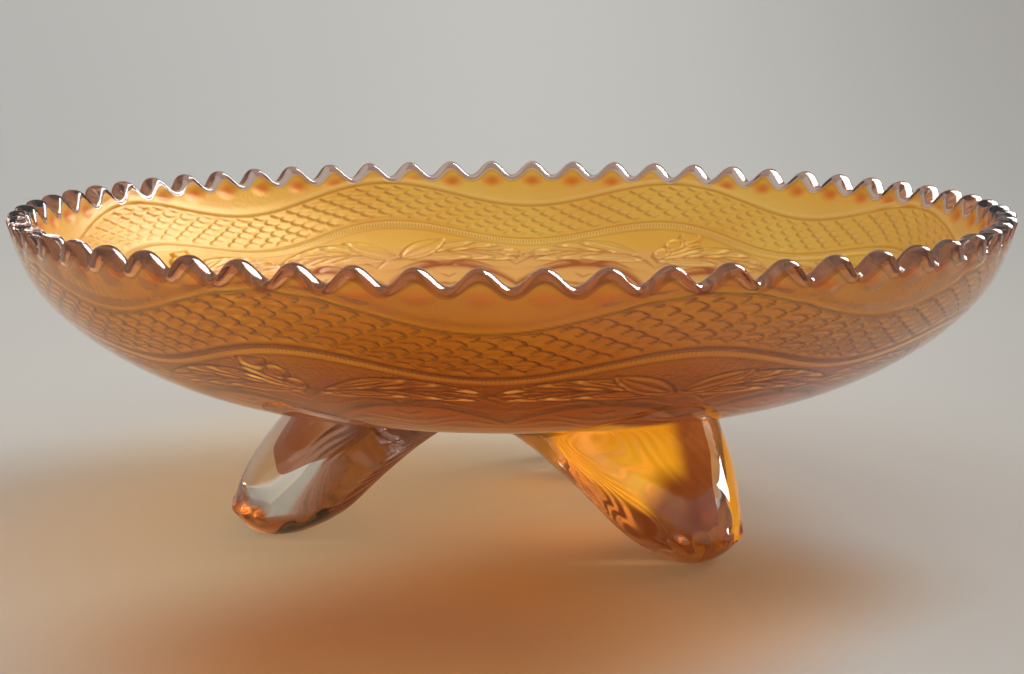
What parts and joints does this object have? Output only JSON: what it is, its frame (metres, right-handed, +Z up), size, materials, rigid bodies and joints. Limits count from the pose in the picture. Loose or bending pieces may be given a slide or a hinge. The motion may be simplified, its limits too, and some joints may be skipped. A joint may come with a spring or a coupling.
{
  "type": "footed glass bowl",
  "caption": "Shallow round iridescent pressed-glass bowl with a scalloped rim, standing on three splayed spatula feet.",
  "frame": {"origin": "on the table, on the bowl's axis, midway between the three feet", "axes": "+Z up along the bowl's axis; foot_left stands within 5 degrees of the -X direction"},
  "size_m": [0.2188, 0.2188, 0.071],
  "materials": {
    "bowl_glass": "satin iridescent lustre inside, pressed relief, clear fire-polished rim",
    "foot_glass": "clear polished glass with a thin iridescent flash"
  },
  "bodies": {
    "root": {"bowl": "bowl_glass", "foot_left": "foot_glass", "foot_right": "foot_glass", "foot_back": "foot_glass"}
  },
  "joints": []
}
